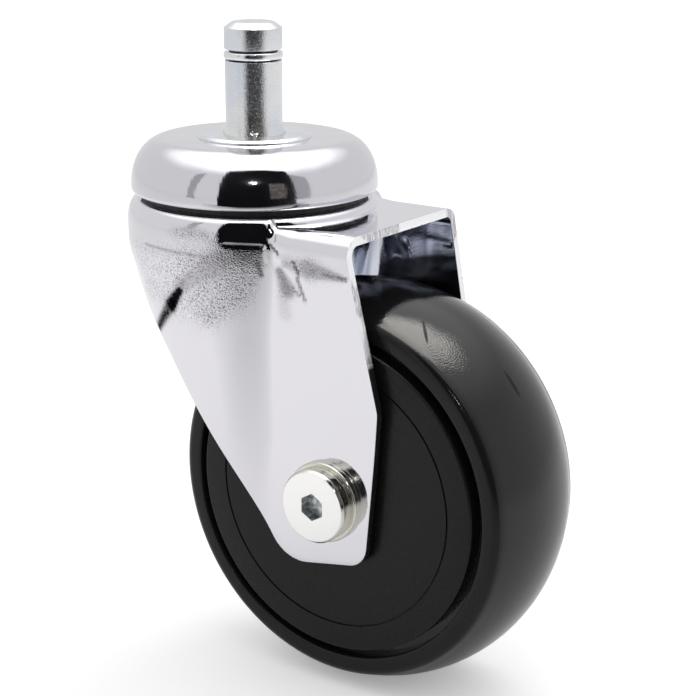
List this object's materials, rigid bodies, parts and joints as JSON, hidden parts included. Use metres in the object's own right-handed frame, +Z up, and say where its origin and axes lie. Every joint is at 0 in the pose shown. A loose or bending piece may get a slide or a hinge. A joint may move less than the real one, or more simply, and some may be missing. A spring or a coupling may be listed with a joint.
{
  "type": "swivel castor",
  "caption": "Swivel castor with a grip-ring stem, a domed ball-race cap, a chromed pressed fork and a solid black wheel on a bolted axle.",
  "frame": {"origin": "on the swivel axis, at the top face of the seat washer that the socket rests on", "axes": "+Z up along the stem, +X the way the wheel trails, and Y along the axle, with the bolt's head on the -Y side"},
  "size_m": [0.0938, 0.0503, 0.1265],
  "materials": {
    "zinc_steel": "bright zinc plate",
    "spring_steel": "bright spring steel",
    "chrome_plate": "polished chrome plate over pressed sheet",
    "bearing_steel": "ground",
    "seal_rubber": "matt black",
    "tread": "black, polished tread and satin face",
    "wheel_plastic": "satin black",
    "cage_plastic": "natural nylon"
  },
  "bodies": {
    "stem": {"kingpin": "zinc_steel", "grip_ring": "spring_steel", "seat_washer": "zinc_steel", "raceway_cap": "chrome_plate", "core_bush": "zinc_steel", "lower_cup": "zinc_steel", "rivet_washer": "zinc_steel"},
    "fork": {"fork": "chrome_plate", "dust_seal": "seal_rubber", "axle_bolt": "zinc_steel", "axle_nut": "zinc_steel", "nut_washer": "zinc_steel", "head_spacer": "zinc_steel", "leg_bush_left": "zinc_steel", "leg_bush_right": "zinc_steel", "axle_sleeve": "zinc_steel", "bearing_inner_race_left": "bearing_steel", "bearing_inner_race_right": "bearing_steel"},
    "wheel": {"tyre": "tread", "wheel_core": "wheel_plastic", "wheel_cover_left": "wheel_plastic", "wheel_cover_right": "wheel_plastic", "bearing_outer_race_left": "bearing_steel", "bearing_outer_race_right": "bearing_steel", "bearing_shields_left": "bearing_steel", "bearing_shields_right": "bearing_steel"},
    "upper_row": {"upper_balls": "bearing_steel"},
    "lower_row": {"lower_balls": "bearing_steel"},
    "wheel_bearings": {"bearing_balls_left": "bearing_steel", "bearing_balls_right": "bearing_steel", "bearing_cage_left": "cage_plastic", "bearing_cage_right": "cage_plastic"}
  },
  "joints": [
    {"name": "swivel", "type": "hinge", "parent": "stem", "child": "fork", "pos_m": [0, 0, 0], "axis": [0, 0, 1], "continuous": true},
    {"name": "upper_row_roll", "type": "hinge", "parent": "stem", "child": "upper_row", "pos_m": [0, 0, 0], "axis": [0, 0, 1], "continuous": true},
    {"name": "lower_row_roll", "type": "hinge", "parent": "stem", "child": "lower_row", "pos_m": [0, 0, 0], "axis": [0, 0, 1], "continuous": true},
    {"name": "wheel_spin", "type": "hinge", "parent": "fork", "child": "wheel", "pos_m": [0.0289, 0, -0.0653], "axis": [0, 1, 0], "continuous": true},
    {"name": "bearing_roll", "type": "hinge", "parent": "fork", "child": "wheel_bearings", "pos_m": [0.0289, 0, -0.0653], "axis": [0, 1, 0], "continuous": true}
  ],
  "couplings": [
    {"joint": "upper_row_roll", "follows": "swivel", "ratio": 0.5},
    {"joint": "lower_row_roll", "follows": "swivel", "ratio": 0.5},
    {"joint": "bearing_roll", "follows": "wheel_spin", "ratio": 0.6323}
  ]
}
